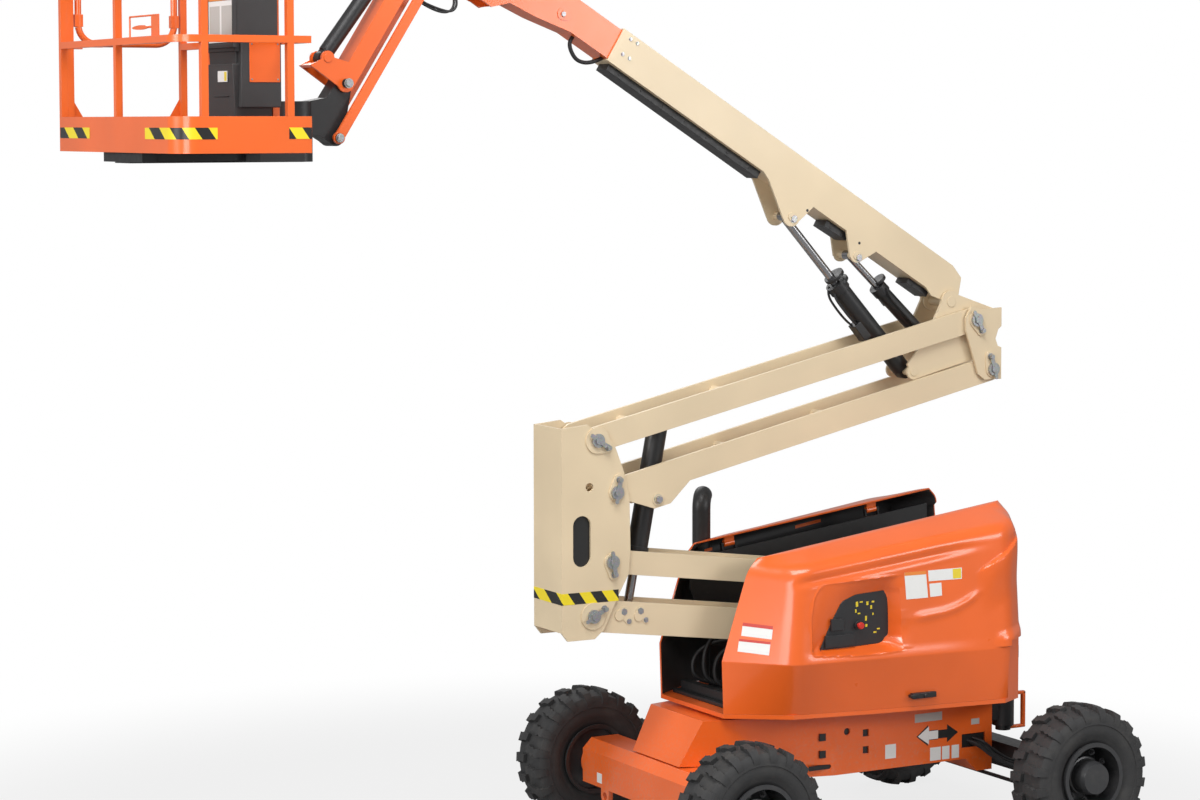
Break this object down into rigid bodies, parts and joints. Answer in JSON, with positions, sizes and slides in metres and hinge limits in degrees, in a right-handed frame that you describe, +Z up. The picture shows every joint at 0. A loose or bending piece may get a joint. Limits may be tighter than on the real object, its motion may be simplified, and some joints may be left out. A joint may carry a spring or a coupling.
{
  "type": "articulating boom lift",
  "caption": "Four-wheel articulating boom lift with a folding twin-parallelogram tower, telescoping main boom, jib and railed work platform, on a turntable with hinged hoods",
  "frame": {"origin": "on the ground, under the middle of the machine's bounding box as it stands in the stored pose", "axes": "+X points along the machine from the platform's end to the counterweight's end, over the steered axle, +Y points to the side away from the platform's console, +Z is up"},
  "size_m": [6.221, 2.34, 5.9028],
  "materials": {
    "orange_paint": "semi-gloss orange paint",
    "tan_paint": "semi-gloss beige paint",
    "black_paint": "satin black paint",
    "rod_steel": "hard-chromed cylinder rod",
    "rim_grey": "dark grey wheel paint",
    "tyre": "foam-filled lugged rubber",
    "deck_steel": "expanded steel deck"
  },
  "bodies": {
    "chassis": {"chassis_frame": "orange_paint", "rear_axle": "orange_paint", "front_axle": "black_paint", "swing_bearing": "black_paint", "lockout_cylinders": "black_paint"},
    "steering_rod": {"steering_link": "black_paint"},
    "near_knuckle": {"knuckle_near": "black_paint"},
    "far_knuckle": {"knuckle_far": "black_paint"},
    "turntable": {"turntable_frame": "orange_paint", "inner_walls": "black_paint", "counterweight": "orange_paint", "engine": "black_paint"},
    "near_hood": {"hood_near": "orange_paint", "control_panel": "black_paint"},
    "far_hood": {"hood_far": "orange_paint", "exhaust_pipe": "black_paint"},
    "base_arm": {"base_arm": "tan_paint"},
    "fold_arm": {"fold_arm": "tan_paint"},
    "upright": {"upright": "tan_paint"},
    "mid_arm": {"mid_arm": "tan_paint"},
    "top_arm": {"top_arm": "tan_paint"},
    "end_link": {"end_link": "tan_paint"},
    "tower_cylinder_barrel": {"tower_cylinder_barrel": "black_paint"},
    "tower_cylinder_rod": {"tower_cylinder_rod": "rod_steel"},
    "timing_link": {"timing_link": "black_paint"},
    "main_boom": {"main_boom": "tan_paint"},
    "lift_cylinder_barrel": {"lift_cylinder_barrel": "black_paint"},
    "lift_cylinder_rod": {"lift_cylinder_rod": "rod_steel"},
    "level_cylinder_barrel": {"level_cylinder_barrel": "black_paint"},
    "level_cylinder_rod": {"level_cylinder_rod": "rod_steel"},
    "fly_boom": {"fly_boom": "orange_paint"},
    "jib_base": {"jib_base": "orange_paint"},
    "jib_arm": {"jib_arm": "orange_paint"},
    "jib_link": {"jib_link": "orange_paint"},
    "jib_foot": {"jib_foot": "black_paint"},
    "jib_cylinder_barrel": {"jib_cylinder_barrel": "black_paint"},
    "jib_cylinder_rod": {"jib_cylinder_rod": "rod_steel"},
    "platform": {"platform_top_rail": "orange_paint", "platform_mid_rail": "orange_paint", "platform_posts": "orange_paint", "platform_toe_board": "orange_paint", "platform_floor": "deck_steel", "platform_support": "black_paint", "control_console": "black_paint"},
    "gate": {"platform_gate": "orange_paint"},
    "rear_near_wheel": {"wheel_rear_near": "rim_grey", "tyre_rear_near": "tyre"},
    "rear_far_wheel": {"wheel_rear_far": "rim_grey", "tyre_rear_far": "tyre"},
    "front_near_wheel": {"wheel_front_near": "rim_grey", "tyre_front_near": "tyre"},
    "front_far_wheel": {"wheel_front_far": "rim_grey", "tyre_front_far": "tyre"}
  },
  "joints": [
    {"name": "wheel_rear_near_spin", "type": "hinge", "parent": "chassis", "child": "rear_near_wheel", "pos_m": [0.30951, -0.987, 0.433], "axis": [0, 1, 0], "continuous": true},
    {"name": "wheel_rear_far_spin", "type": "hinge", "parent": "chassis", "child": "rear_far_wheel", "pos_m": [0.30951, 0.987, 0.433], "axis": [0, 1, 0], "continuous": true},
    {"name": "steer_near", "type": "hinge", "parent": "chassis", "child": "near_knuckle", "pos_m": [2.67751, -0.725, 0.433], "axis": [0, 0, 1], "range_deg": [-32, 32]},
    {"name": "steer_far", "type": "hinge", "parent": "chassis", "child": "far_knuckle", "pos_m": [2.67751, 0.725, 0.433], "axis": [0, 0, 1], "range_deg": [-32, 32]},
    {"name": "wheel_front_near_spin", "type": "hinge", "parent": "near_knuckle", "child": "front_near_wheel", "pos_m": [2.67751, -0.987, 0.433], "axis": [0, 1, 0], "continuous": true},
    {"name": "wheel_front_far_spin", "type": "hinge", "parent": "far_knuckle", "child": "front_far_wheel", "pos_m": [2.67751, 0.987, 0.433], "axis": [0, 1, 0], "continuous": true},
    {"name": "steering_slide", "type": "slide", "parent": "chassis", "child": "steering_rod", "axis": [0, 1, 0], "range_m": [-0.11471, 0.11471]},
    {"name": "swing", "type": "hinge", "parent": "chassis", "child": "turntable", "pos_m": [1.49351, 0, 0.862], "axis": [0, 0, 1], "range_deg": [-177.5, 177.5]},
    {"name": "hood_near_lift", "type": "hinge", "parent": "turntable", "child": "near_hood", "pos_m": [1.49351, -0.41, 1.865], "axis": [-0.9912, 0, -0.1323], "range_deg": [0, 55]},
    {"name": "hood_far_lift", "type": "hinge", "parent": "turntable", "child": "far_hood", "pos_m": [1.49351, 0.41, 1.865], "axis": [0.9912, 0, 0.1323], "range_deg": [0, 55]},
    {"name": "tower_lift", "type": "hinge", "parent": "turntable", "child": "base_arm", "pos_m": [2.49551, 0, 1.165], "axis": [0, 1, 0], "range_deg": [-7.5, 57.5]},
    {"name": "fold_arm_pivot", "type": "hinge", "parent": "turntable", "child": "fold_arm", "pos_m": [2.62351, 0, 1.477], "axis": [0, 1, 0], "range_deg": [-7.5, 57.5]},
    {"name": "upright_pivot", "type": "hinge", "parent": "base_arm", "child": "upright", "pos_m": [-0.26665, 0, 1.52865], "axis": [0, -1, 0], "range_deg": [-7.5, 57.5]},
    {"name": "mid_arm_pivot", "type": "hinge", "parent": "upright", "child": "mid_arm", "pos_m": [-0.10765, 0, 2.24965], "axis": [0, -1, 0], "range_deg": [-7.5, 57.5]},
    {"name": "top_arm_pivot", "type": "hinge", "parent": "upright", "child": "top_arm", "pos_m": [-0.23665, 0, 2.56365], "axis": [0, -1, 0], "range_deg": [-7.5, 57.5]},
    {"name": "end_link_pivot", "type": "hinge", "parent": "mid_arm", "child": "end_link", "pos_m": [2.60911, 0, 2.86688], "axis": [0, 1, 0], "range_deg": [-7.5, 57.5]},
    {"name": "tower_cylinder_swivel", "type": "hinge", "parent": "mid_arm", "child": "tower_cylinder_barrel", "pos_m": [0.18918, 0, 2.1889], "axis": [0, 1, 0], "range_deg": [-8.08, 61.88]},
    {"name": "tower_cylinder_stroke", "type": "slide", "parent": "tower_cylinder_barrel", "child": "tower_cylinder_rod", "axis": [-0.1895, 0, -0.9819], "range_m": [-0.07608, 0.58265]},
    {"name": "timing_link_pivot", "type": "hinge", "parent": "mid_arm", "child": "timing_link", "pos_m": [-0.36137, 0, 2.13868], "axis": [0, 1, 0], "range_deg": [-11.89, 91.14]},
    {"name": "boom_lift", "type": "hinge", "parent": "end_link", "child": "main_boom", "pos_m": [2.32611, 0, 3.29588], "axis": [0, 1, 0], "range_deg": [-31.5, 43.5]},
    {"name": "lift_cylinder_swivel", "type": "hinge", "parent": "end_link", "child": "lift_cylinder_barrel", "pos_m": [2.04611, 0, 2.86688], "axis": [0, 1, 0], "range_deg": [-30.09, 41.55]},
    {"name": "lift_cylinder_stroke", "type": "slide", "parent": "lift_cylinder_barrel", "child": "lift_cylinder_rod", "axis": [-0.6716, 0, 0.7409], "range_m": [-0.26808, 0.37017]},
    {"name": "level_cylinder_swivel", "type": "hinge", "parent": "end_link", "child": "level_cylinder_barrel", "pos_m": [2.18911, 0, 3.08188], "axis": [0, 1, 0], "range_deg": [-31.3, 43.22]},
    {"name": "level_cylinder_stroke", "type": "slide", "parent": "level_cylinder_barrel", "child": "level_cylinder_rod", "axis": [-0.7322, 0, 0.6811], "range_m": [-0.13572, 0.18739]},
    {"name": "fly_extend", "type": "slide", "parent": "main_boom", "child": "fly_boom", "axis": [-0.8526, 0, 0.5225], "range_m": [0, 1.7]},
    {"name": "jib_level", "type": "hinge", "parent": "fly_boom", "child": "jib_base", "pos_m": [-0.90426, 0, 5.1957], "axis": [0, -1, 0], "range_deg": [-31.5, 43.5]},
    {"name": "jib_lift", "type": "hinge", "parent": "jib_base", "child": "jib_arm", "pos_m": [-1.11826, 0, 5.6867], "axis": [0, 1, 0], "range_deg": [-2.5, 141.5]},
    {"name": "jib_link_pivot", "type": "hinge", "parent": "jib_base", "child": "jib_link", "pos_m": [-1.17326, 0, 5.3827], "axis": [0, 1, 0], "range_deg": [-2.5, 141.5]},
    {"name": "jib_foot_pivot", "type": "hinge", "parent": "jib_arm", "child": "jib_foot", "pos_m": [-1.78451, 0, 4.6409], "axis": [0, -1, 0], "range_deg": [-2.5, 141.5]},
    {"name": "jib_cylinder_swivel", "type": "hinge", "parent": "jib_arm", "child": "jib_cylinder_barrel", "pos_m": [-1.89396, 0, 4.78177], "axis": [0, 1, 0], "range_deg": [-0.04, 1.81]},
    {"name": "jib_cylinder_stroke", "type": "slide", "parent": "jib_cylinder_barrel", "child": "jib_cylinder_rod", "axis": [0.6045, 0, 0.7966], "range_m": [-0.3451, 0.0062]},
    {"name": "platform_rotate", "type": "hinge", "parent": "jib_foot", "child": "platform", "pos_m": [-2.05451, 0, 4.2629], "axis": [0, 0, 1], "range_deg": [-90, 90]},
    {"name": "gate_swing", "type": "hinge", "parent": "platform", "child": "gate", "pos_m": [-3.00151, 0.895, 4.8629], "axis": [0, 0, -1], "range_deg": [0, 85]}
  ],
  "couplings": [
    {"joint": "steer_far", "follows": "steer_near", "ratio": 1},
    {"joint": "steering_slide", "follows": "steer_near", "m_per_rad": -0.19},
    {"joint": "fold_arm_pivot", "follows": "tower_lift", "ratio": 1},
    {"joint": "upright_pivot", "follows": "tower_lift", "ratio": 1},
    {"joint": "mid_arm_pivot", "follows": "tower_lift", "ratio": 1},
    {"joint": "top_arm_pivot", "follows": "tower_lift", "ratio": 1},
    {"joint": "end_link_pivot", "follows": "tower_lift", "ratio": 1},
    {"joint": "tower_cylinder_swivel", "follows": "tower_lift", "ratio": 0.99638},
    {"joint": "tower_cylinder_stroke", "follows": "tower_lift", "m_per_rad": 0.53748},
    {"joint": "timing_link_pivot", "follows": "tower_lift", "ratio": 1.4676},
    {"joint": "lift_cylinder_swivel", "follows": "boom_lift", "ratio": 0.88436},
    {"joint": "lift_cylinder_stroke", "follows": "boom_lift", "m_per_rad": 0.45133},
    {"joint": "level_cylinder_swivel", "follows": "boom_lift", "ratio": 0.91978},
    {"joint": "level_cylinder_stroke", "follows": "boom_lift", "m_per_rad": 0.22841},
    {"joint": "jib_level", "follows": "boom_lift", "ratio": 1},
    {"joint": "jib_link_pivot", "follows": "jib_lift", "ratio": 1},
    {"joint": "jib_foot_pivot", "follows": "jib_lift", "ratio": 1},
    {"joint": "jib_cylinder_swivel", "follows": "jib_lift", "ratio": 0.011809},
    {"joint": "jib_cylinder_stroke", "follows": "jib_lift", "m_per_rad": -0.12935}
  ]
}
